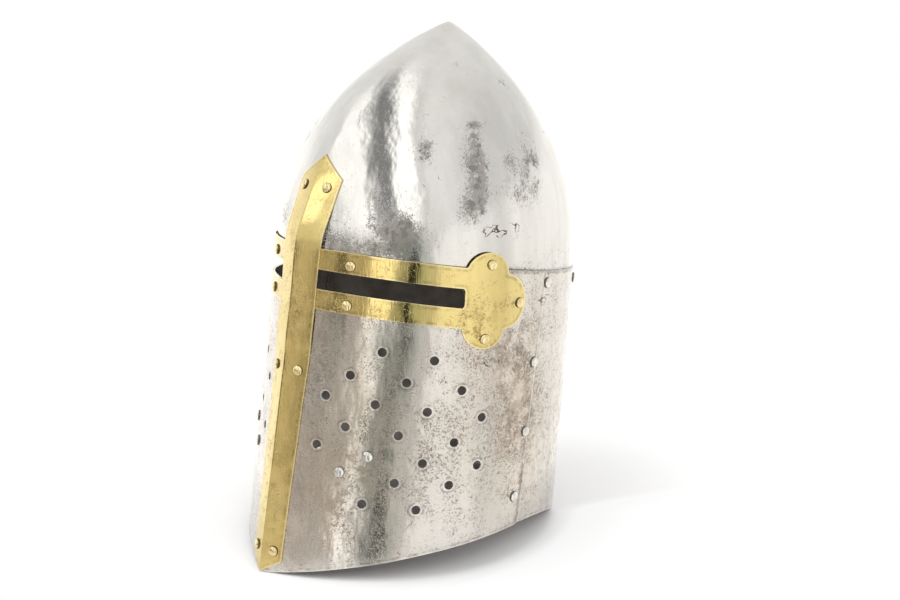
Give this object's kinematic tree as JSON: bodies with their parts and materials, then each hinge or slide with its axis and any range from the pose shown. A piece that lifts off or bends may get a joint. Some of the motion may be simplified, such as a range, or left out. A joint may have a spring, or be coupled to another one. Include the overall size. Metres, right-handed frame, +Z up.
{
  "type": "knight helmet",
  "caption": "Pointed great helm: a steel dome over riveted face and rear plates, with a brass cross-shaped eye-slit border, breathing holes, leather liner and buckled chin strap.",
  "frame": {"origin": "on the plane the helmet stands on, in its mirror plane, below the middle of its overall box", "axes": "+Z up; the face and its eye slit look along -Y; +X is towards the wearer's left. The helmet stands on its front point and its rear rim, leaning back about ten degrees."},
  "size_m": [0.2278, 0.2928, 0.3775],
  "materials": {
    "steel": "polished sheet steel, darkened in patches with pitting and light brown staining",
    "brass": "polished sheet brass, stained and brighter at the edges",
    "brass_rivet": "domed hand-set brass",
    "steel_rivet": "domed hand-set steel",
    "strap_leather": "dark brown strap leather",
    "liner_leather": "tan liner leather",
    "thong": "leather lace",
    "buckle_brass": "cast brass"
  },
  "bodies": {
    "helm": {"skull_dome": "steel", "face_plate": "steel", "rear_plate": "steel", "keel_bar": "brass", "brass_arm_left": "brass", "brass_arm_right": "brass", "keel_bar_rivets": "brass_rivet", "arm_rivets_left": "brass_rivet", "arm_rivets_right": "brass_rivet", "seam_rivets_left": "steel_rivet", "seam_rivets_right": "steel_rivet", "brow_rivets": "steel_rivet", "chin_rivets_left": "steel_rivet", "chin_rivets_right": "steel_rivet", "chin_tab_left": "strap_leather", "chin_tab_right": "strap_leather", "chin_washers": "steel_rivet", "liner_band": "liner_leather", "liner_washers": "steel_rivet", "liner_lace": "thong", "liner_petal_1": "liner_leather", "liner_petal_2": "liner_leather", "liner_petal_3": "liner_leather", "liner_petal_4": "liner_leather", "liner_petal_5": "liner_leather", "liner_petal_6": "liner_leather", "liner_petal_7": "liner_leather", "liner_petal_8": "liner_leather"},
    "chin_strap": {"chin_strap_long": "strap_leather", "chin_strap_short": "strap_leather"},
    "buckle": {"buckle_frame": "buckle_brass", "buckle_prong": "buckle_brass"},
    "keeper": {"strap_keeper": "strap_leather"}
  },
  "joints": [
    {"name": "chin_strap_swing", "type": "hinge", "parent": "helm", "child": "chin_strap", "pos_m": [0, -0.09437, 0.074], "axis": [1, 0, 0], "range_deg": [-12, 60]},
    {"name": "buckle_rock", "type": "hinge", "parent": "chin_strap", "child": "buckle", "pos_m": [-0.004, -0.09437, 0.0155], "axis": [0, 1, 0], "range_deg": [0, 5]},
    {"name": "keeper_slide", "type": "slide", "parent": "chin_strap", "child": "keeper", "axis": [1, 0, 0], "range_m": [-0.003, 0]}
  ]
}
